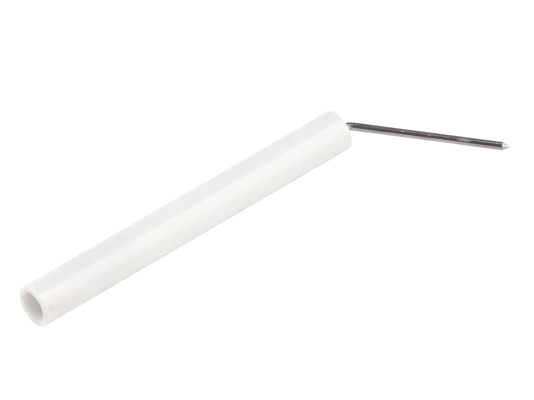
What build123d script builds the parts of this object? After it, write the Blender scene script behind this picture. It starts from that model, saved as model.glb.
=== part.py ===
from build123d import *
from math import asin, cos, radians, sin, sqrt, tan
import os

# Flame sensor probe: a ceramic insulator with a plug socket at one end and a bent sensing rod at the other.
#
# Frame: millimetres, the barrel's axis along X and its middle at the origin. The socket's mouth faces -X and
# the rod leaves the nose at +X. +Z is up when the probe lies on a bench, on its barrel and on its rod's end.
#
# How it is put together: the rod carries a crimped stop ferrule and goes in from the nose until the
# ferrule meets the step of the nose counterbore. On the socket's floor lie a flat washer and a disc
# spring. The collar of the terminal pin, crimped on the rod's rear end, presses the spring and so holds
# the ferrule home. Cement fills the nose counterbore around the ferrule.

# ---- driving dimensions, in mm and degrees
BARREL_DIA = 13.0
BARREL_LENGTH = 117.0
BARREL_EDGE_RADIUS = 0.4  # rounded by the glaze and the firing

SOCKET_DIA = 9.2
SOCKET_DEPTH = 34.0
SOCKET_EDGE_RADIUS = 0.3

ROD_DIA = 2.5
ROD_BORE_DIA = 2.8  # running room, because metal and ceramic expand by different amounts
BEND_ANGLE = 45.0
BEND_RADIUS = 6.0  # to the rod's centre line
NOSE_TO_BEND = 0.6  # straight stretch of rod between the nose face and the bend
CORNER_TO_TIP = 49.6  # from where the two straight centre lines would cross to the point
TIP_ANGLE = 50.0  # included angle of the ground point
TIP_FLAT_DIA = 0.3
ROD_REAR_CHAMFER = 0.3

NOSE_COUNTERBORE_DIA = 5.2
NOSE_COUNTERBORE_DEPTH = 6.0
FERRULE_DIA = 4.6
FERRULE_LENGTH = 3.0
FERRULE_CHAMFER = 0.25
CEMENT_SAG = 0.25  # how far the cement's face lies below the nose face at the wall
CEMENT_CREEP = 0.3  # how far it climbs the rod beyond the nose face

WASHER_DIA = 8.4
WASHER_HOLE_DIA = 2.9
WASHER_THICKNESS = 0.6
SPRING_DIA = 7.6
SPRING_HOLE_DIA = 3.2
SPRING_THICKNESS = 0.35
SPRING_HEIGHT = 0.8  # of the fitted spring, from rim to rim

COLLAR_DIA = 7.6
COLLAR_THICKNESS = 1.6
COLLAR_CHAMFER = 0.3
CRIMP_BARREL_DIA = 5.6
CRIMP_BARREL_LENGTH = 7.0
CRIMP_DENTS = 4
CRIMP_DENT_RADIUS = 1.1
CRIMP_DENT_DEPTH = 0.6
CONTACT_DIA = 4.0
CONTACT_LENGTH = 12.0  # from the crimp barrel to the pin's end
CONTACT_NOSE_RADIUS = 1.2
DETENT_RADIUS = 0.35  # round groove that the plug's spring snaps into
DETENT_FROM_END = 3.0
SHOULDER_RADIUS = 0.4
PIN_HOLE_START = 0.8  # solid metal between the crimp barrel's shoulder and the floor of the rod's hole

# ---- stations along X
MOUTH_X = -BARREL_LENGTH / 2
NOSE_X = BARREL_LENGTH / 2
SOCKET_FLOOR_X = MOUTH_X + SOCKET_DEPTH
NOSE_STEP_X = NOSE_X - NOSE_COUNTERBORE_DEPTH
WASHER_BACK_X = SOCKET_FLOOR_X - WASHER_THICKNESS
COLLAR_FRONT_X = WASHER_BACK_X - SPRING_HEIGHT
COLLAR_BACK_X = COLLAR_FRONT_X - COLLAR_THICKNESS
CONTACT_START_X = COLLAR_BACK_X - CRIMP_BARREL_LENGTH
CONTACT_END_X = CONTACT_START_X - CONTACT_LENGTH
CRIMP_CENTRE_X = (COLLAR_BACK_X + CONTACT_START_X) / 2
ROD_REAR_X = CONTACT_START_X + PIN_HOLE_START
CORNER_X = NOSE_X + NOSE_TO_BEND + BEND_RADIUS * tan(radians(BEND_ANGLE) / 2)


def bench_roll(point_offset):
    """Angle in radians that the bend leans below the horizontal when barrel and rod both touch the bench.

    point_offset is how far from the barrel's axis, square to it, the full-diameter part of the rod ends.
    The rod's lowest point there is point_offset * s + r * sqrt(1 - (sin(bend) * s)^2) below the axis, where s
    is the sine of the roll, and it equals the barrel's radius: a quadratic in s.
    """
    barrel_radius, rod_radius = BARREL_DIA / 2, ROD_DIA / 2
    a = point_offset**2 + (rod_radius * sin(radians(BEND_ANGLE))) ** 2
    b = barrel_radius * point_offset
    c = barrel_radius**2 - rod_radius**2
    return asin((b - sqrt(b**2 - a * c)) / a)


def along_x(x):
    """Sketch plane square to the barrel's axis at station x, facing +X."""
    return Plane(origin=(x, 0, 0), x_dir=(0, 1, 0), z_dir=(1, 0, 0))


# ---- insulator tube
with BuildPart() as insulator_tube:
    with BuildSketch(along_x(MOUTH_X)):
        Circle(BARREL_DIA / 2)
    extrude(amount=BARREL_LENGTH)
    fillet(insulator_tube.edges().filter_by(GeomType.CIRCLE), radius=BARREL_EDGE_RADIUS)
    with BuildSketch(along_x(MOUTH_X)):
        Circle(SOCKET_DIA / 2)
    extrude(amount=SOCKET_DEPTH, mode=Mode.SUBTRACT)
    mouth_edges = insulator_tube.edges().filter_by(GeomType.CIRCLE).group_by(Axis.X)[0]
    fillet(mouth_edges.sort_by(SortBy.RADIUS)[0], radius=SOCKET_EDGE_RADIUS)
    with BuildSketch(along_x(MOUTH_X)):
        Circle(ROD_BORE_DIA / 2)
    extrude(amount=BARREL_LENGTH, mode=Mode.SUBTRACT)
    with BuildSketch(along_x(NOSE_STEP_X)):
        Circle(NOSE_COUNTERBORE_DIA / 2)
    extrude(amount=NOSE_COUNTERBORE_DEPTH, mode=Mode.SUBTRACT)
insulator_tube.part.label = "insulator_tube"

# ---- electrode rod
bend = radians(BEND_ANGLE)
tip_length = (ROD_DIA - TIP_FLAT_DIA) / 2 / tan(radians(TIP_ANGLE) / 2)
free_length = CORNER_TO_TIP - tip_length  # of full diameter, from the corner
roll = bench_roll(free_length * sin(bend))
bend_plane = Plane(origin=(0, 0, 0), x_dir=(1, 0, 0), z_dir=(0, sin(roll), -cos(roll)))

with BuildPart() as electrode_rod:
    with BuildLine(bend_plane) as rod_line:
        FilletPolyline(
            (ROD_REAR_X, 0),
            (CORNER_X, 0),
            (CORNER_X + free_length * cos(bend), free_length * sin(bend)),
            radius=BEND_RADIUS,
        )
    with BuildSketch(along_x(ROD_REAR_X)):
        Circle(ROD_DIA / 2)
    sweep(path=rod_line.line)
    rear_edge = electrode_rod.edges().filter_by(GeomType.CIRCLE).sort_by(Axis.X)[0]
    chamfer(rear_edge, length=ROD_REAR_CHAMFER)
    tip_base = Plane(origin=rod_line.line @ 1, z_dir=rod_line.line % 1)
    with BuildSketch(tip_base):
        Circle(ROD_DIA / 2)
    with BuildSketch(tip_base.offset(tip_length)):
        Circle(TIP_FLAT_DIA / 2)
    loft()
electrode_rod.part.label = "electrode_rod"

# ---- stop ferrule, crimped on the rod at the nose
with BuildPart() as stop_ferrule:
    with BuildSketch(along_x(NOSE_STEP_X)):
        Circle(FERRULE_DIA / 2)
        Circle(ROD_DIA / 2, mode=Mode.SUBTRACT)
    extrude(amount=FERRULE_LENGTH)
    ferrule_rims = stop_ferrule.edges().filter_by(GeomType.CIRCLE).group_by(SortBy.RADIUS)[-1]
    chamfer(ferrule_rims, length=FERRULE_CHAMFER)
stop_ferrule.part.label = "stop_ferrule"

# ---- cement that fills the nose counterbore
with BuildPart() as nose_cement:
    with BuildSketch(Plane.XZ):
        with BuildLine():
            Line((NOSE_STEP_X, ROD_DIA / 2), (NOSE_STEP_X, NOSE_COUNTERBORE_DIA / 2))
            Line((NOSE_STEP_X, NOSE_COUNTERBORE_DIA / 2), (NOSE_X - CEMENT_SAG, NOSE_COUNTERBORE_DIA / 2))
            SagittaArc(
                (NOSE_X - CEMENT_SAG, NOSE_COUNTERBORE_DIA / 2),
                (NOSE_X + CEMENT_CREEP, ROD_DIA / 2),
                -CEMENT_SAG,
            )
            Line((NOSE_X + CEMENT_CREEP, ROD_DIA / 2), (NOSE_STEP_X, ROD_DIA / 2))
        make_face()
    revolve(axis=Axis.X)
    add(stop_ferrule.part, mode=Mode.SUBTRACT)
nose_cement.part.label = "nose_cement"

# ---- flat washer on the socket's floor
with BuildPart() as flat_washer:
    with BuildSketch(along_x(WASHER_BACK_X)):
        Circle(WASHER_DIA / 2)
        Circle(WASHER_HOLE_DIA / 2, mode=Mode.SUBTRACT)
    extrude(amount=WASHER_THICKNESS)
flat_washer.part.label = "flat_washer"

# ---- disc spring, a coned ring between washer and collar
with BuildPart() as disc_spring:
    with BuildSketch(Plane.XZ):
        with BuildLine():
            Polyline(
                (WASHER_BACK_X, SPRING_DIA / 2),
                (WASHER_BACK_X - SPRING_THICKNESS, SPRING_DIA / 2),
                (COLLAR_FRONT_X, SPRING_HOLE_DIA / 2),
                (COLLAR_FRONT_X + SPRING_THICKNESS, SPRING_HOLE_DIA / 2),
                close=True,
            )
        make_face()
    revolve(axis=Axis.X)
disc_spring.part.label = "disc_spring"

# ---- terminal pin, crimped on the rod in the socket
with BuildPart() as terminal_pin:
    with BuildSketch(along_x(COLLAR_BACK_X)):
        Circle(COLLAR_DIA / 2)
    extrude(amount=COLLAR_THICKNESS)
    chamfer(terminal_pin.edges().filter_by(GeomType.CIRCLE), length=COLLAR_CHAMFER)
    with BuildSketch(along_x(CONTACT_START_X)):
        Circle(CRIMP_BARREL_DIA / 2)
    extrude(amount=CRIMP_BARREL_LENGTH)
    with BuildSketch(along_x(CONTACT_END_X)):
        Circle(CONTACT_DIA / 2)
    extrude(amount=CONTACT_LENGTH)
    shoulder = terminal_pin.edges().filter_by(GeomType.CIRCLE).filter_by_position(
        Axis.X, CONTACT_START_X, CONTACT_START_X
    )
    fillet(shoulder.sort_by(SortBy.RADIUS)[-1], radius=SHOULDER_RADIUS)
    contact_end = terminal_pin.edges().filter_by(GeomType.CIRCLE).sort_by(Axis.X)[0]
    fillet(contact_end, radius=CONTACT_NOSE_RADIUS)
    with BuildSketch(Plane.XZ):
        with Locations((CONTACT_END_X + DETENT_FROM_END, CONTACT_DIA / 2)):
            Circle(DETENT_RADIUS)
    revolve(axis=Axis.X, mode=Mode.SUBTRACT)
    with Locations(along_x(CRIMP_CENTRE_X)):
        with PolarLocations(CRIMP_BARREL_DIA / 2 - CRIMP_DENT_DEPTH + CRIMP_DENT_RADIUS, CRIMP_DENTS):
            Sphere(CRIMP_DENT_RADIUS, mode=Mode.SUBTRACT)
    with BuildSketch(along_x(ROD_REAR_X)):
        Circle(ROD_DIA / 2)
    extrude(amount=COLLAR_FRONT_X - ROD_REAR_X, mode=Mode.SUBTRACT)
terminal_pin.part.label = "terminal_pin"

# ---- one STEP for each piece
os.makedirs("parts", exist_ok=True)
for piece in (
    insulator_tube,
    electrode_rod,
    stop_ferrule,
    nose_cement,
    flat_washer,
    disc_spring,
    terminal_pin,
):
    export_step(piece.part, f"parts/{piece.part.label}.step")
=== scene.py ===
"""Looks of the flame sensor probe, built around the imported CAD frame. Metres, in the frame's own axes."""

from math import asin, cos, hypot, pi, radians, sin, sqrt, tan

import bmesh
import bpy
from mathutils import Matrix, Vector, noise


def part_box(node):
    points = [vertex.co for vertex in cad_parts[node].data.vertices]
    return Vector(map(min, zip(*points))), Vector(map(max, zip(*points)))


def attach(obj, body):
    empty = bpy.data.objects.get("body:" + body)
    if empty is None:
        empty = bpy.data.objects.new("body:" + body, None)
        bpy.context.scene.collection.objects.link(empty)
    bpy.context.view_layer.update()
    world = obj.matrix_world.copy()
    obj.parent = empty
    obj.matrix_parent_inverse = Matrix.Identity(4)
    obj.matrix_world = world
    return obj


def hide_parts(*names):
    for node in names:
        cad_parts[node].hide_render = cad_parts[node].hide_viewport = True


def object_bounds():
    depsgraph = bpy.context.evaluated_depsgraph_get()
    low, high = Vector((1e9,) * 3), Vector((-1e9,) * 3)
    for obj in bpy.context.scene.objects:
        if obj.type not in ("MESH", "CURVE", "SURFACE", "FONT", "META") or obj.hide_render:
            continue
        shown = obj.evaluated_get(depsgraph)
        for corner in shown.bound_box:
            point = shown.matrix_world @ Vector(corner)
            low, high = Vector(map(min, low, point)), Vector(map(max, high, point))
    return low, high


MM = 0.001

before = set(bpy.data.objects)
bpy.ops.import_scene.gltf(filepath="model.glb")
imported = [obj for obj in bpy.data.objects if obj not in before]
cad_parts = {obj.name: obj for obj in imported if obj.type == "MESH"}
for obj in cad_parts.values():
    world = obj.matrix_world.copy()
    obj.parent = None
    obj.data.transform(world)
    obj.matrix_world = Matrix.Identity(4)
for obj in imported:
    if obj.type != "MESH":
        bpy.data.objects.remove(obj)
cad_low, cad_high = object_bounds()

# ---------------------------------------------------------------- sizes of the CAD part, in millimetres
MOUTH_X, NOSE_X = (corner.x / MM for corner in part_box("insulator_tube"))
BARREL_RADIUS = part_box("insulator_tube")[1].z / MM
RIM_RADIUS = 0.4
SOCKET_RADIUS = 4.6
SOCKET_FLOOR_X = MOUTH_X + 34.0
SOCKET_FLOOR_CORNER = 0.4
SOCKET_RIM_RADIUS = 0.3
ROD_BORE_RADIUS = 1.4
COUNTERBORE_RADIUS = 2.6
COUNTERBORE_STEP_X = NOSE_X - 6.0
COUNTERBORE_RIM = 0.15

ROD_RADIUS = 1.25
ROD_REAR_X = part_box("electrode_rod")[0].x / MM
ROD_REAR_CHAMFER = 0.3
BEND_ANGLE = radians(45)
BEND_RADIUS = 6.0
BEND_START_X = NOSE_X + 0.6
CORNER_TO_TIP = 49.6
TIP_HALF_ANGLE = radians(25)
TIP_FLAT_RADIUS = 0.15

FERRULE_RADIUS = 2.3
FERRULE_END_X = COUNTERBORE_STEP_X + 3.0
CEMENT_WALL_X = NOSE_X - 0.25
CEMENT_CREEP_X = NOSE_X + 0.3
CEMENT_SAG = 0.25

PIN_END_X, PIN_FRONT_X = (corner.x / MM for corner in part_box("terminal_pin"))
COLLAR_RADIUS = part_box("terminal_pin")[1].z / MM
COLLAR_BACK_X = PIN_FRONT_X - 1.6
COLLAR_CHAMFER = 0.3
CRIMP_RADIUS = 2.8
CRIMP_END_X = COLLAR_BACK_X - 7.0
CRIMP_CENTRE_X = (COLLAR_BACK_X + CRIMP_END_X) / 2
CRIMP_DENTS = 4
DENT_RADIUS = 1.1
DENT_DEPTH = 0.6
SHOULDER_RADIUS = 0.4
CONTACT_RADIUS = 2.0
CONTACT_NOSE_RADIUS = 1.2
DETENT_X = PIN_END_X + 3.0
DETENT_RADIUS = 0.35

# ---------------------------------------------------------------- what the finished surfaces add to the CAD
GLAZE_RIPPLE = 0.015  # how far the glaze wanders from a true cylinder, always inwards
GLAZE_RIPPLE_LENGTH = 9.0
FACE_RIPPLE = 0.02
FACE_RIPPLE_LENGTH = 1.5
WIRE_WANDER = 0.03  # how far the free wire strays from straight
WIRE_WANDER_LENGTH = 14.0
WIRE_WANDER_FADE = 4.0  # stretch at both ends of the free wire where it comes back to its line
BEND_FLATTENING = 0.02  # part of its thickness that the wire loses in the bend
CEMENT_LUMPS = 0.05
CEMENT_LUMP_LENGTH = 0.5
CEMENT_MARGIN = 0.1  # strip beside ceramic and rod that stays free of lumps

# ---------------------------------------------------------------- how finely the meshes are divided
BARREL_SEGMENTS = 192
ROD_SEGMENTS = 96
SMALL_SEGMENTS = 128
CORNER_STEPS = 6
LARGE_CORNER_STEPS = 12
MENISCUS_STEPS = 14
LONG_STEP = 1.2  # millimetres between the rings of a straight run
HIDDEN_STEP = 2.0  # the same inside the ceramic
FINE_STEP = 0.2  # the same in the rod's bend and point
DENT_STEP = 0.1  # the same across the crimp dents
REAR_RUN = 1.0  # from the rod's rear end to the first evenly spaced ring
SUPPORT = 0.04  # distance of the extra rings that keep the edges crisp under smooth shading
SAME = 1e-6  # distance within which two places count as one


# ---------------------------------------------------------------- mesh helpers
def ripple(point, length, seed):
    """Smooth random number from 0 to 1 that changes over about `length` millimetres."""
    where = Vector(point) / length + Vector((seed, seed * 1.7, -seed))
    return 0.5 + 0.5 * max(-1.0, min(1.0, noise.noise(where)))


def skin(name, rings, closed):
    """Smooth mesh over rings of equally many points in millimetres.

    The rings are closed to a loop, or the first and the last one are capped.
    """
    count = len(rings[0])
    mesh = bmesh.new()
    verts = [[mesh.verts.new(Vector(p) * MM) for p in ring] for ring in rings]
    for index in range(len(rings) if closed else len(rings) - 1):
        here, there = verts[index], verts[(index + 1) % len(rings)]
        for k in range(count):
            after = (k + 1) % count
            mesh.faces.new((here[k], here[after], there[after], there[k]))
    if not closed:
        mesh.faces.new(verts[0])
        mesh.faces.new(verts[-1])
    bmesh.ops.recalc_face_normals(mesh, faces=mesh.faces)
    for face in mesh.faces:
        face.smooth = len(face.verts) == 4
    data = bpy.data.meshes.new(name)
    mesh.to_mesh(data)
    mesh.free()
    obj = bpy.data.objects.new(name, data)
    bpy.context.scene.collection.objects.link(obj)
    return obj


def arc(centre_x, centre_r, radius, start, end, steps=CORNER_STEPS):
    """Round corner in the (x, r) half plane, from angle start to angle end in degrees."""
    angles = [radians(start + (end - start) * i / steps) for i in range(steps + 1)]
    return [(centre_x + radius * cos(a), centre_r + radius * sin(a)) for a in angles]


def edge(x, r):
    """Sharp corner of a profile."""
    return [(x, r)]


def straight(start, end):
    """Points between two profile points, ends left out, with a support point close to each end."""
    length = hypot(end[0] - start[0], end[1] - start[1])
    if length <= 4 * SUPPORT:
        return []
    count = max(2, round(length / LONG_STEP))
    spread = [length * i / count for i in range(1, count)]
    return [
        (start[0] + (end[0] - start[0]) * s / length, start[1] + (end[1] - start[1]) * s / length)
        for s in [SUPPORT, *spread, length - SUPPORT]
    ]


def outline(corners, closed):
    """Profile of (x, r) points through a list of corners, with points spread over the straight runs."""
    points = []
    for index, corner in enumerate(corners):
        points += corner
        if closed or index < len(corners) - 1:
            points += straight(corner[-1], corners[(index + 1) % len(corners)][0])
    return points


def turned(name, profile, closed, segments, moved):
    """Profile of (x, r) points turned about the X axis. moved(x, r, angle) gives a point's new x and r."""
    rings = []
    for x, r in profile:
        ring = []
        for k in range(segments):
            angle = 2 * pi * k / segments
            px, pr = moved(x, r, angle)
            ring.append((px, pr * cos(angle), pr * sin(angle)))
        rings.append(ring)
    return skin(name, rings, closed)


# ---------------------------------------------------------------- ceramic barrel
def barrel_surface(x, r, angle):
    """Glaze ripples on the barrel and a slightly uneven cut on its two end faces."""
    here = (x, r * cos(angle), r * sin(angle))
    if r > BARREL_RADIUS - RIM_RADIUS and MOUTH_X < x < NOSE_X:
        return x, r - GLAZE_RIPPLE * ripple(here, GLAZE_RIPPLE_LENGTH, seed=3.1)
    at_mouth = abs(x - MOUTH_X) < SAME
    at_nose = abs(x - NOSE_X) < SAME
    if r > COUNTERBORE_RADIUS and (at_mouth or at_nose):
        inwards = FACE_RIPPLE if at_mouth else -FACE_RIPPLE
        return x + inwards * ripple(here, FACE_RIPPLE_LENGTH, seed=8.3), r
    return x, r


def make_barrel():
    rim = BARREL_RADIUS - RIM_RADIUS
    corners = [
        arc(NOSE_X - RIM_RADIUS, rim, RIM_RADIUS, 90, 0),
        arc(NOSE_X - COUNTERBORE_RIM, COUNTERBORE_RADIUS + COUNTERBORE_RIM, COUNTERBORE_RIM, 0, -90),
        edge(COUNTERBORE_STEP_X, COUNTERBORE_RADIUS),
        edge(COUNTERBORE_STEP_X, ROD_BORE_RADIUS),
        edge(SOCKET_FLOOR_X, ROD_BORE_RADIUS),
        arc(
            SOCKET_FLOOR_X - SOCKET_FLOOR_CORNER,
            SOCKET_RADIUS - SOCKET_FLOOR_CORNER,
            SOCKET_FLOOR_CORNER,
            0,
            90,
        ),
        arc(
            MOUTH_X + SOCKET_RIM_RADIUS,
            SOCKET_RADIUS + SOCKET_RIM_RADIUS,
            SOCKET_RIM_RADIUS,
            -90,
            -180,
        ),
        arc(MOUTH_X + RIM_RADIUS, rim, RIM_RADIUS, 180, 90),
    ]
    return turned("ceramic_barrel", outline(corners, True), True, BARREL_SEGMENTS, barrel_surface)


# ---------------------------------------------------------------- sensing rod
def bench_roll(point_offset):
    """Lean of the bend below the horizontal, at which both the barrel and the rod touch the bench.

    With q as the sine of the lean, the rod reaches as low as the barrel where a q**2 - 2 b q + c = 0.
    """
    a = point_offset**2 + (ROD_RADIUS * sin(BEND_ANGLE)) ** 2
    b = BARREL_RADIUS * point_offset
    c = BARREL_RADIUS**2 - ROD_RADIUS**2
    return asin((b - sqrt(b**2 - a * c)) / a)


def make_rod():
    """Wire swept from its chamfered rear end round the bend to the ground point.

    Each point also stores where it would be on the straight wire, for the drawing and grinding marks.
    Also returned: where the ground point starts and ends on the straight wire, and the free wire's heading.
    """
    tip_length = (ROD_RADIUS - TIP_FLAT_RADIUS) / tan(TIP_HALF_ANGLE)
    corner_run = BEND_RADIUS * tan(BEND_ANGLE / 2)
    free_length = CORNER_TO_TIP - tip_length
    roll = bench_roll(free_length * sin(BEND_ANGLE))
    ahead = Vector((1, 0, 0))
    side = Vector((0, -cos(roll), -sin(roll)))
    upright = ahead.cross(side)
    bend_start = BEND_START_X - ROD_REAR_X
    bend_end = bend_start + BEND_RADIUS * BEND_ANGLE
    cone_start = bend_end + free_length - corner_run
    rod_end = cone_start + tip_length

    def centre_and_turn(s):
        turn = min(max(s - bend_start, 0), bend_end - bend_start) / BEND_RADIUS
        centre = ahead * (ROD_REAR_X + min(s, bend_start)) + BEND_RADIUS * (
            ahead * sin(turn) + side * (1 - cos(turn))
        )
        beyond = max(s - bend_end, 0)
        centre += beyond * (ahead * cos(turn) + side * sin(turn))
        return centre, turn

    def spread(start, end, step):
        count = max(1, round((end - start) / step))
        return [start + (end - start) * i / count for i in range(count + 1)]

    def faded(s):
        """0 at both ends of the free wire, 1 between them."""
        return min(max((s - bend_end) / WIRE_WANDER_FADE, 0), 1) * min(
            max((cone_start - s) / WIRE_WANDER_FADE, 0), 1
        )

    stations = [0, ROD_REAR_CHAMFER, ROD_REAR_CHAMFER + SUPPORT]
    stations += spread(REAR_RUN, bend_start, HIDDEN_STEP)
    stations += spread(bend_start, bend_end, FINE_STEP)[1:]
    stations += spread(bend_end, cone_start - SUPPORT, LONG_STEP)[1:]
    stations += [cone_start, cone_start + SUPPORT]
    stations += spread(cone_start + SUPPORT, rod_end, FINE_STEP)[1:]

    rings = []
    on_straight_wire = []
    for s in stations:
        centre, turn = centre_and_turn(s)
        inwards = side * cos(turn) - ahead * sin(turn)
        wander = 2 * ripple((s, 0, 0), WIRE_WANDER_LENGTH, seed=5.7) - 1
        centre = centre + inwards * WIRE_WANDER * wander * faded(s)
        radius = ROD_RADIUS
        if s < ROD_REAR_CHAMFER:
            radius = ROD_RADIUS - ROD_REAR_CHAMFER + s
        if s > cone_start:
            radius = ROD_RADIUS - (s - cone_start) * tan(TIP_HALF_ANGLE)
        squeeze = BEND_FLATTENING * sin(pi * turn / BEND_ANGLE)
        ring = []
        for k in range(ROD_SEGMENTS):
            angle = 2 * pi * k / ROD_SEGMENTS
            ring.append(
                centre
                + inwards * radius * cos(angle) * (1 - squeeze)
                + upright * radius * sin(angle)
            )
            on_straight_wire.append((s * MM, radius * cos(angle) * MM, radius * sin(angle) * MM))
        rings.append(ring)
    rod = skin("sensing_rod", rings, False)
    stored = rod.data.attributes.new("straight_wire", "FLOAT_VECTOR", "POINT")
    stored.data.foreach_set("vector", [value for point in on_straight_wire for value in point])
    heading = ahead * cos(BEND_ANGLE) + side * sin(BEND_ANGLE)
    return rod, cone_start, rod_end, heading


# ---------------------------------------------------------------- cement in the nose
def cement_surface(x, r, angle):
    """Lumps on the open face of the cement, none where it meets ceramic, rod and ferrule."""
    open_face = ROD_RADIUS + CEMENT_MARGIN < r < COUNTERBORE_RADIUS - CEMENT_MARGIN
    if x < CEMENT_WALL_X or not open_face:
        return x, r
    here = (x, r * cos(angle), r * sin(angle))
    return x - CEMENT_LUMPS * ripple(here, CEMENT_LUMP_LENGTH, seed=2.2), r


def make_cement():
    meniscus = []
    for i in range(MENISCUS_STEPS + 1):
        share = i / MENISCUS_STEPS
        x = CEMENT_CREEP_X + (CEMENT_WALL_X - CEMENT_CREEP_X) * share
        r = ROD_RADIUS + (COUNTERBORE_RADIUS - ROD_RADIUS) * share
        meniscus.append((x - CEMENT_SAG * sin(pi * share), r))
    corners = [
        meniscus,
        edge(COUNTERBORE_STEP_X, COUNTERBORE_RADIUS),
        edge(COUNTERBORE_STEP_X, FERRULE_RADIUS),
        edge(FERRULE_END_X, FERRULE_RADIUS),
        edge(FERRULE_END_X, ROD_RADIUS),
    ]
    return turned("refractory_cement", outline(corners, True), True, SMALL_SEGMENTS, cement_surface)


# ---------------------------------------------------------------- terminal pin
def crimp_surface(x, r, angle):
    """Round dents of the crimping tool in the crimp barrel."""
    along = x - CRIMP_CENTRE_X
    if abs(r - CRIMP_RADIUS) > SAME or abs(along) > DENT_RADIUS:
        return x, r
    dent_centre = CRIMP_RADIUS - DENT_DEPTH + DENT_RADIUS
    spacing = 2 * pi / CRIMP_DENTS
    off = (angle + spacing / 2) % spacing - spacing / 2
    near = dent_centre * cos(off)
    inside = near**2 - (dent_centre**2 + along**2 - DENT_RADIUS**2)
    if inside < 0:
        return x, r
    return x, min(r, near - sqrt(inside))


def make_pin():
    nose = CONTACT_RADIUS - CONTACT_NOSE_RADIUS
    shoulder = CRIMP_RADIUS - SHOULDER_RADIUS
    collar = COLLAR_RADIUS - COLLAR_CHAMFER
    dent_steps = round(2 * DENT_RADIUS / DENT_STEP)
    dent_start = CRIMP_CENTRE_X - DENT_RADIUS
    corners = [
        arc(PIN_END_X + CONTACT_NOSE_RADIUS, nose, CONTACT_NOSE_RADIUS, 180, 90, LARGE_CORNER_STEPS),
        arc(DETENT_X, CONTACT_RADIUS, DETENT_RADIUS, -180, 0, LARGE_CORNER_STEPS),
        edge(CRIMP_END_X, CONTACT_RADIUS),
        arc(CRIMP_END_X + SHOULDER_RADIUS, shoulder, SHOULDER_RADIUS, 180, 90),
        [(dent_start + DENT_STEP * i, CRIMP_RADIUS) for i in range(dent_steps + 1)],
        edge(COLLAR_BACK_X, CRIMP_RADIUS),
        edge(COLLAR_BACK_X, collar),
        edge(COLLAR_BACK_X + COLLAR_CHAMFER, COLLAR_RADIUS),
        edge(PIN_FRONT_X - COLLAR_CHAMFER, COLLAR_RADIUS),
        edge(PIN_FRONT_X, collar),
        edge(PIN_FRONT_X, ROD_RADIUS),
        edge(ROD_REAR_X, ROD_RADIUS),
    ]
    return turned("contact_pin", outline(corners, False), False, SMALL_SEGMENTS, crimp_surface)


# ---------------------------------------------------------------- node helpers
NOISE_RANGE = (0.3, 0.7)  # nearly all values of a noise lie in it; a narrower range gives harder contrast
SPOT_CORE = 0.3  # part of a spot's half lengths in which it is at full strength


class Nodes:
    """A node tree and short ways to add to it. A value is a number, a vector, a colour or a socket."""

    def __init__(self, tree):
        self.tree = tree

    def node(self, kind, inputs=None, **settings):
        """New node with these settings, and with these values in its inputs."""
        made = self.tree.nodes.new(kind)
        for setting, value in settings.items():
            setattr(made, setting, value)
        for socket, value in (inputs or {}).items():
            if isinstance(value, bpy.types.NodeSocket):
                self.tree.links.new(value, made.inputs[socket])
            else:
                made.inputs[socket].default_value = value
        return made

    def stretched(self, place, lengths):
        """Coordinates in which one unit is as long along X, Y and Z as these millimetres."""
        scale = tuple(1 / (length * MM) for length in lengths)
        return self.node("ShaderNodeMapping", {"Vector": place, "Scale": scale}).outputs["Vector"]

    def noise(self, place, lengths, detail):
        """Random number around 0.5 that changes over these millimetres along X, Y and Z."""
        inputs = {"Vector": self.stretched(place, lengths), "Scale": 1.0, "Detail": detail}
        return self.node("ShaderNodeTexNoise", inputs).outputs["Fac"]

    def ramp(self, value, low, high, to_low=0.0, to_high=1.0):
        """Smooth step of value from low to high, given as to_low to to_high."""
        inputs = {
            "Value": value,
            "From Min": low,
            "From Max": high,
            "To Min": to_low,
            "To Max": to_high,
        }
        made = self.node("ShaderNodeMapRange", inputs, interpolation_type="SMOOTHSTEP")
        return made.outputs["Result"]

    def maths(self, operation, first, second=0.0):
        return self.node("ShaderNodeMath", {0: first, 1: second}, operation=operation).outputs[0]

    def vector_maths(self, operation, inputs, output):
        return self.node("ShaderNodeVectorMath", inputs, operation=operation).outputs[output]

    def between(self, share, first, second):
        """Number between first and second. The Mix node keeps those two in its sockets 2 and 3."""
        inputs = {0: share, 2: first, 3: second}
        return self.node("ShaderNodeMix", inputs, data_type="FLOAT").outputs[0]

    def blend(self, share, first, second):
        """Colour between first and second. The Mix node keeps those two in its sockets 6 and 7."""
        inputs = {0: share, 6: first, 7: second}
        return self.node("ShaderNodeMix", inputs, data_type="RGBA").outputs[2]

    def spot(self, place, centre, lengths):
        """1 near the centre, falling to 0 over these half lengths, all in millimetres."""
        offset = self.vector_maths("SUBTRACT", {0: place, 1: Vector(centre) * MM}, "Vector")
        distance = self.vector_maths("LENGTH", {0: self.stretched(offset, lengths)}, "Value")
        return self.ramp(distance, 1.0, SPOT_CORE)


class Shader(Nodes):
    """The nodes of a new material with one Principled shader, and short ways to drive its sockets."""

    def __init__(self, name, **sockets):
        self.material = bpy.data.materials.new(name)
        self.material.use_nodes = True
        super().__init__(self.material.node_tree)
        self.principled = self.tree.nodes["Principled BSDF"]
        for socket, value in sockets.items():
            self.principled.inputs[socket.replace("_", " ")].default_value = value

    def drive(self, socket, source):
        self.tree.links.new(source, self.principled.inputs[socket])

    def place(self):
        """Coordinates in the part's own frame, in metres."""
        return self.node("ShaderNodeTexCoord").outputs["Object"]

    def stored(self, name):
        """Coordinates that the mesh carries."""
        return self.node("ShaderNodeAttribute", attribute_name=name).outputs["Vector"]

    def bump(self, height, depth):
        """Drives the surface normal by height, whose unit is depth millimetres."""
        inputs = {"Height": height, "Strength": 1.0, "Distance": depth * MM}
        self.drive("Normal", self.node("ShaderNodeBump", inputs).outputs["Normal"])


def colour(red, green, blue):
    return (red, green, blue, 1.0)


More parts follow.
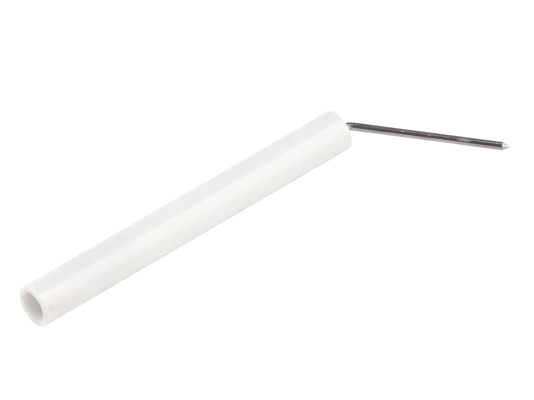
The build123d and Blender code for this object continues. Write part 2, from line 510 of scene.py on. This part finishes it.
# ---------------------------------------------------------------- glazed ceramic
# Lengths in this and the next sections are in millimetres. A _PATTERN is the lengths along X, Y and Z over
# which a noise changes. A pair of values is taken from the low to the high side of the noise.
GLAZE_COLOURS = (colour(0.884, 0.888, 0.872), colour(0.900, 0.902, 0.895))
CLOUD_PATTERN = (22, 9, 9)
CLOUD_RANGE = (0.35, 0.65)
GLAZE_ROUGHNESS = (0.11, 0.18)
SMEAR_PATTERN = (6, 3, 3)
PEEL_PATTERN = (1.6, 1.6, 1.6)
PEEL_HEIGHT = 0.5  # of the glaze's orange peel, against 1 for the grain of the bare ceramic
GLAZE_THINS_OUT = (0.32, 0.2)  # below the barrel's radius, where the glaze ends and where it is whole
GLAZE_LINE_WANDER = 0.05
GLAZE_LINE_PATTERN = (1.2, 1.2, 1.2)
BARE_COLOURS = (colour(0.81, 0.765, 0.73), colour(0.88, 0.84, 0.81))
BARE_ROUGHNESS = 0.8
GRAIN_PATTERN = (0.12, 0.12, 0.12)
# Painted shade: the end faces are darkened towards this grey, standing in for the light they miss.
END_FACE_SHADE_COLOUR = colour(0.70, 0.68, 0.66)
END_FACE_SHADE_STRENGTH = 0.55
END_FACE_SHADE_DEPTH = (0.15, 0.03)  # inside the end faces, where their painted shade starts and where it is whole
CERAMIC_BUMP = 0.012
CERAMIC_IOR = 1.5
# Light that goes into the ceramic: share where it is bare and under the glaze, reach, and reach by colour.
BARE_SUBSURFACE = 1.0
GLAZED_SUBSURFACE = 0.2
SUBSURFACE_REACH = 6.5
SUBSURFACE_COLOURS = (1.0, 0.92, 0.84)
# Marks in the glaze: millimetres from the mouth, angle round the barrel, half lengths along X, Y and Z,
# strength and colour. The first is a faint warm stain, the second a small grey speck.
GLAZE_STAINS = (
    (3.0, 184, (15.0, 8.0, 8.0), 0.8, colour(0.875, 0.838, 0.818)),
    (2.1, 160, (0.8, 1.1, 1.1), 0.4, colour(0.66, 0.62, 0.60)),
)


def ceramic_material():
    """White glaze on the barrel and its rims, bare fine-grained ceramic on the end faces and in the bores,
    the end faces greyed with painted shade.
    """
    shader = Shader(
        "white_glazed_ceramic",
        IOR=CERAMIC_IOR,
        Subsurface_Radius=SUBSURFACE_COLOURS,
        Subsurface_Scale=SUBSURFACE_REACH * MM,
    )
    place = shader.place()
    split = shader.node("ShaderNodeSeparateXYZ", {"Vector": place})
    across = shader.node("ShaderNodeCombineXYZ", {"Y": split.outputs["Y"], "Z": split.outputs["Z"]})
    radius = shader.vector_maths("LENGTH", {0: across.outputs["Vector"]}, "Value")
    line_noise = shader.noise(place, GLAZE_LINE_PATTERN, detail=2.0)
    wander = shader.ramp(line_noise, *NOISE_RANGE, -GLAZE_LINE_WANDER * MM, GLAZE_LINE_WANDER * MM)
    wandering_radius = shader.maths("ADD", radius, wander)
    glaze_ends, glaze_whole = ((BARREL_RADIUS - below) * MM for below in GLAZE_THINS_OUT)
    glazed = shader.ramp(wandering_radius, glaze_ends, glaze_whole)

    clouds = shader.noise(place, CLOUD_PATTERN, detail=2.0)
    glaze_colour = shader.blend(shader.ramp(clouds, *CLOUD_RANGE), *GLAZE_COLOURS)
    for from_mouth, angle, lengths, strength, stain_colour in GLAZE_STAINS:
        outwards = Vector((0, cos(radians(angle)), sin(radians(angle))))
        centre = Vector((MOUTH_X + from_mouth, 0, 0)) + BARREL_RADIUS * outwards
        stain = shader.maths("MULTIPLY", shader.spot(place, centre, lengths), strength)
        glaze_colour = shader.blend(stain, glaze_colour, stain_colour)

    grain = shader.noise(place, GRAIN_PATTERN, detail=4.0)
    bare_colour = shader.blend(shader.ramp(grain, *NOISE_RANGE), *BARE_COLOURS)
    from_middle = shader.maths("ABSOLUTE", split.outputs["X"])
    # Painted shade on both end faces: darker towards a grey, standing in for the light they miss.
    shade_starts, shade_whole = ((NOSE_X - inside) * MM for inside in END_FACE_SHADE_DEPTH)
    end_face_shade = shader.ramp(from_middle, shade_starts, shade_whole, 0.0, END_FACE_SHADE_STRENGTH)
    bare_colour = shader.blend(end_face_shade, bare_colour, END_FACE_SHADE_COLOUR)
    shader.drive("Base Color", shader.blend(glazed, bare_colour, glaze_colour))
    shader.drive("Subsurface Weight", shader.ramp(glazed, 0.0, 1.0, BARE_SUBSURFACE, GLAZED_SUBSURFACE))

    smears = shader.noise(place, SMEAR_PATTERN, detail=4.0)
    glaze_roughness = shader.ramp(smears, *NOISE_RANGE, *GLAZE_ROUGHNESS)
    shader.drive("Roughness", shader.between(glazed, BARE_ROUGHNESS, glaze_roughness))

    peel = shader.maths("MULTIPLY", shader.noise(place, PEEL_PATTERN, detail=2.0), PEEL_HEIGHT)
    height = shader.maths(
        "ADD",
        shader.maths("MULTIPLY", peel, glazed),
        shader.maths("MULTIPLY", grain, shader.maths("SUBTRACT", 1.0, glazed)),
    )
    shader.bump(height, CERAMIC_BUMP)
    return shader.material


# ---------------------------------------------------------------- drawn wire
WIRE_COLOURS = (colour(0.435, 0.392, 0.386), colour(0.565, 0.533, 0.525))
TINT_PATTERN = (12, 1.2, 1.2)
TINT_RANGE = (0.38, 0.62)
WIRE_ROUGHNESS = (0.13, 0.24)
DRAWN_PATTERN = (14, 0.09, 0.09)
DRAWN_RANGE = (0.25, 0.75)
DRAWN_MARK_COLOUR = colour(0.38, 0.345, 0.335)
DRAWN_MARK_RANGE = (0.55, 0.75)
DRAWN_MARK_STRENGTH = 0.4
RUBBED_COLOUR = colour(0.56, 0.54, 0.52)
RUBBED_ROUGHENING = 0.25
# Rubbed spots on the wire: distance from its point, angle round it, half length, half width.
RUBBED_SPOTS = ((13.9, -58, 3.2, 0.6), (32.5, -74, 1.3, 0.3), (24.5, -70, 0.8, 0.3))
GROUND_COLOUR = colour(0.53, 0.515, 0.50)
GROUND_ROUGHNESS = 0.2
GROUND_PATTERN = (0.05, 3, 3)
GROUND_EDGE = 0.02  # half of the stretch over which the drawn surface goes over to the ground one
WIRE_BUMP = 0.006


def rod_material(cone_start, rod_end):
    """Drawn heat-resistant wire, dark and slightly brown, with rubbed spots and a brighter ground point."""
    shader = Shader("drawn_resistance_wire", Metallic=1.0)
    wire = shader.stored("straight_wire")
    along = shader.node("ShaderNodeSeparateXYZ", {"Vector": wire}).outputs["X"]
    drawn = shader.noise(wire, DRAWN_PATTERN, detail=3.0)
    tint = shader.noise(wire, TINT_PATTERN, detail=4.0)
    wire_colour = shader.blend(shader.ramp(tint, *TINT_RANGE), *WIRE_COLOURS)
    marked = shader.ramp(drawn, *DRAWN_MARK_RANGE, 0.0, DRAWN_MARK_STRENGTH)
    wire_colour = shader.blend(marked, wire_colour, DRAWN_MARK_COLOUR)
    rubbed = 0.0
    for before_end, angle, half_length, half_width in RUBBED_SPOTS:
        outwards = Vector((0, cos(radians(angle)), sin(radians(angle))))
        centre = Vector((rod_end - before_end, 0, 0)) + ROD_RADIUS * outwards
        spot = shader.spot(wire, centre, (half_length, half_width, half_width))
        rubbed = shader.maths("MAXIMUM", rubbed, spot)
    wire_colour = shader.blend(rubbed, wire_colour, RUBBED_COLOUR)
    ground = shader.ramp(along, (cone_start - GROUND_EDGE) * MM, (cone_start + GROUND_EDGE) * MM)
    shader.drive("Base Color", shader.blend(ground, wire_colour, GROUND_COLOUR))

    wire_roughness = shader.maths(
        "ADD",
        shader.ramp(drawn, *DRAWN_RANGE, *WIRE_ROUGHNESS),
        shader.maths("MULTIPLY", rubbed, RUBBED_ROUGHENING),
    )
    shader.drive("Roughness", shader.between(ground, wire_roughness, GROUND_ROUGHNESS))

    grinding = shader.noise(wire, GROUND_PATTERN, detail=2.0)
    shader.bump(shader.between(ground, drawn, grinding), WIRE_BUMP)
    return shader.material


# ---------------------------------------------------------------- cement, turned metal and table
CEMENT_COLOURS = (colour(0.52, 0.50, 0.46), colour(0.72, 0.70, 0.65))
CEMENT_ROUGHNESS = 0.92
CEMENT_PATTERN = (0.2, 0.2, 0.2)
CEMENT_BUMP = 0.08
TARNISH_PATTERN = (2, 2, 2)
TARNISH_RANGE = (0.35, 0.75)
TARNISH_ROUGHENING = 0.15
TURNING_MARK_LENGTH = 4
METAL_BUMP = 0.005
# The table as the camera sees it, and the glowing white paper that it is for light and reflections.
TABLE_COLOURS = (colour(0.20, 0.20, 0.199), colour(0.22, 0.22, 0.219))
TABLE_PATTERN = (50, 50, 50)
TABLE_GLARE = 0.86
TABLE_ROUGHNESS = 0.9
PAPER_COLOUR = colour(0.67, 0.67, 0.662)
PAPER_GLOW = 0.25


def cement_material():
    """Dry, porous, off-white cement."""
    shader = Shader("refractory_cement", Roughness=CEMENT_ROUGHNESS)
    place = shader.place()
    grain = shader.noise(place, CEMENT_PATTERN, detail=6.0)
    shader.drive("Base Color", shader.blend(shader.ramp(grain, *NOISE_RANGE), *CEMENT_COLOURS))
    shader.bump(grain, CEMENT_BUMP)
    return shader.material


def turned_metal(name, bright, dull, roughness, mark_width):
    """Metal with fine turning or rolling marks and a patchy tarnish."""
    shader = Shader(name, Metallic=1.0)
    place = shader.place()
    patches = shader.noise(place, TARNISH_PATTERN, detail=4.0)
    shader.drive("Base Color", shader.blend(shader.ramp(patches, *TARNISH_RANGE), bright, dull))
    tarnished = roughness + TARNISH_ROUGHENING
    shader.drive("Roughness", shader.ramp(patches, *NOISE_RANGE, roughness, tarnished))
    marks = shader.noise(place, (mark_width, TURNING_MARK_LENGTH, TURNING_MARK_LENGTH), detail=2.0)
    shader.bump(marks, METAL_BUMP)
    return shader.material


def table_material():
    """White table: lit like paper where the object mirrors it, burnt out to plain white in the picture."""
    shader = Shader(
        "white_table",
        Roughness=TABLE_ROUGHNESS,
        Emission_Color=colour(1, 1, 1),
        Emission_Strength=TABLE_GLARE,
    )
    place = shader.place()
    mottle = shader.noise(place, TABLE_PATTERN, detail=2.0)
    shader.drive("Base Color", shader.blend(mottle, *TABLE_COLOURS))
    paper = shader.node("ShaderNodeBsdfDiffuse", {"Color": PAPER_COLOUR}).outputs["BSDF"]
    glow = shader.node("ShaderNodeEmission", {"Strength": PAPER_GLOW}).outputs["Emission"]
    glowing_paper = shader.node("ShaderNodeAddShader", {0: paper, 1: glow}).outputs["Shader"]
    seen = shader.node("ShaderNodeLightPath").outputs["Is Camera Ray"]
    burnt_out = shader.principled.outputs["BSDF"]
    mix = shader.node("ShaderNodeMixShader", {0: seen, 1: glowing_paper, 2: burnt_out})
    shader.tree.links.new(mix.outputs["Shader"], shader.tree.nodes["Material Output"].inputs["Surface"])
    return shader.material


# ---------------------------------------------------------------- the object's pieces
def show(piece, node, material):
    """The piece stands for a CAD node, which it hides, and takes this material."""
    piece.data.materials.append(material)
    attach(piece, "root")
    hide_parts(node)


rod, cone_start, rod_end, wire_heading = make_rod()
nickel = turned_metal("nickel_plate", colour(0.72, 0.69, 0.63), colour(0.60, 0.56, 0.49), 0.2, 0.06)
show(make_barrel(), "insulator_tube", ceramic_material())
show(rod, "electrode_rod", rod_material(cone_start, rod_end))
show(make_cement(), "nose_cement", cement_material())
show(make_pin(), "terminal_pin", nickel)

# CAD nodes that stay: name of the steel, its bright and its tarnished colour, roughness, width of a mark.
CARRIED_OVER = {
    "stop_ferrule": ("ferrule_steel", colour(0.58, 0.57, 0.55), colour(0.42, 0.40, 0.37), 0.3, 0.05),
    "flat_washer": ("washer_steel", colour(0.66, 0.66, 0.65), colour(0.50, 0.49, 0.47), 0.28, 0.04),
    "disc_spring": ("spring_steel", colour(0.50, 0.50, 0.51), colour(0.34, 0.33, 0.33), 0.25, 0.04),
}
for node, steel in CARRIED_OVER.items():
    material = turned_metal(*steel)
    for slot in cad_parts[node].material_slots:
        slot.material = material


# ---------------------------------------------------------------- table, studio light and camera
# Lengths in metres, but LENS and SENSOR in millimetres.
FLOOR_SIZE = 6.0
CAMERA_AZIMUTH = radians(-40.58)
CAMERA_ELEVATION = radians(42.92)
CAMERA_DISTANCE = 1.6164
CAMERA_AIM = Vector((19.83, -12.53, 3.66)) * MM
LENS = 370.8
SENSOR = 36.0
FAR_CLIP = 20.0
# The tent's gap: how far it reaches to both sides of the plane square to the wire, as a sine, its blur, its
# colours, and from which to which cosine to the camera's side it goes from the back colour to the front one.
GAP_EDGE = 0.22
GAP_BLUR = 0.14
GAP_BACK = colour(0.245, 0.235, 0.230)
GAP_FRONT = colour(0.132, 0.116, 0.111)
GAP_GRADING = (-0.15, 0.55)
TENT_LEFT = colour(0.90, 0.90, 0.91)
TENT_RIGHT = colour(1.08, 1.08, 1.04)
# Soft lights: name, direction and distance from the origin, width, height, the way the height runs, and
# the radiance that a mirror would show of it.
SOFTBOXES = (
    ("right_softbox", (0.50, -0.547, 0.671), 1.6, 0.56, 2.0, (0, 0.775, 0.632), 1.5),
    ("left_softbox", (-0.80, 0.02, 0.60), 2.0, 0.7, 0.7, (0, 0, 1), 1.6),
    ("back_softbox", (-0.45, 0.53, 0.72), 2.0, 0.7, 0.7, (0, 0, 1), 5.2),
    ("bend_softbox", (0.27, -0.10, 0.955), 2.0, 0.25, 0.20, (0, 1, 0), 2.2),
)


def direction(azimuth, elevation):
    """Unit vector towards a place seen at that azimuth and elevation; azimuth 0 is -Y."""
    return Vector((sin(azimuth) * cos(elevation), -cos(azimuth) * cos(elevation), sin(elevation)))


def make_floor():
    half = FLOOR_SIZE / 2
    data = bpy.data.meshes.new("table")
    corners = [(x * half, y * half, cad_low.z) for x, y in ((-1, -1), (1, -1), (1, 1), (-1, 1))]
    data.from_pydata(corners, [], [(0, 1, 2, 3)])
    data.materials.append(table_material())
    floor = bpy.data.objects.new("table", data)
    bpy.context.scene.collection.objects.link(floor)


def softbox(name, towards, distance, width, height, upwards, radiance):
    """Soft light that faces the object, its height along upwards."""
    lamp = bpy.data.lights.new(name, "AREA")
    lamp.shape = "RECTANGLE"
    lamp.size = width
    lamp.size_y = height
    lamp.energy = radiance * pi * width * height
    lamp_object = bpy.data.objects.new(name, lamp)
    back = Vector(towards).normalized()
    sideways = Vector(upwards).cross(back).normalized()
    lamp_object.location = back * distance
    lamp_object.rotation_euler = Matrix((sideways, back.cross(sideways), back)).transposed().to_euler()
    bpy.context.scene.collection.objects.link(lamp_object)


def make_world(heading):
    """White tent round a wire of that heading, with a darker gap square to it, which the wire reflects.

    The gap is dark on the camera's side and lighter behind the object. The camera sees plain white.
    """
    world = bpy.data.worlds.new("studio")
    world.use_nodes = True
    world.node_tree.nodes.clear()
    tent = Nodes(world.node_tree)
    around = tent.node("ShaderNodeTexCoord").outputs["Generated"]

    def graded(towards, low, high, at_low, at_high):
        """Colour from at_low to at_high as the direction's share of towards goes from low to high."""
        share = tent.vector_maths("DOT_PRODUCT", {0: around, 1: towards}, "Value")
        return tent.blend(tent.ramp(share, low, high), at_low, at_high)

    gap = graded(direction(CAMERA_AZIMUTH, 0), *GAP_GRADING, GAP_BACK, GAP_FRONT)
    left_half = graded(heading, -GAP_EDGE - GAP_BLUR, -GAP_EDGE, TENT_LEFT, gap)
    whole = graded(heading, GAP_EDGE, GAP_EDGE + GAP_BLUR, left_half, TENT_RIGHT)

    seen = tent.node("ShaderNodeLightPath").outputs["Is Camera Ray"]
    lit = tent.node("ShaderNodeBackground", {"Color": whole}).outputs["Background"]
    plain = tent.node("ShaderNodeBackground", {"Color": colour(1, 1, 1)}).outputs["Background"]
    mix = tent.node("ShaderNodeMixShader", {0: seen, 1: lit, 2: plain}).outputs["Shader"]
    tent.node("ShaderNodeOutputWorld", {"Surface": mix})
    bpy.context.scene.world = world


def make_camera():
    lens = bpy.data.cameras.new("camera")
    lens.lens = LENS
    lens.sensor_width = SENSOR
    lens.clip_end = FAR_CLIP
    camera = bpy.data.objects.new("camera", lens)
    back = direction(CAMERA_AZIMUTH, CAMERA_ELEVATION)
    camera.location = CAMERA_AIM + back * CAMERA_DISTANCE
    camera.rotation_euler = back.to_track_quat("Z", "Y").to_euler()
    bpy.context.scene.collection.objects.link(camera)
    bpy.context.scene.camera = camera


make_floor()
for settings in SOFTBOXES:
    softbox(*settings)
make_world(wire_heading)
make_camera()
bpy.context.scene.view_settings.view_transform = "Standard"
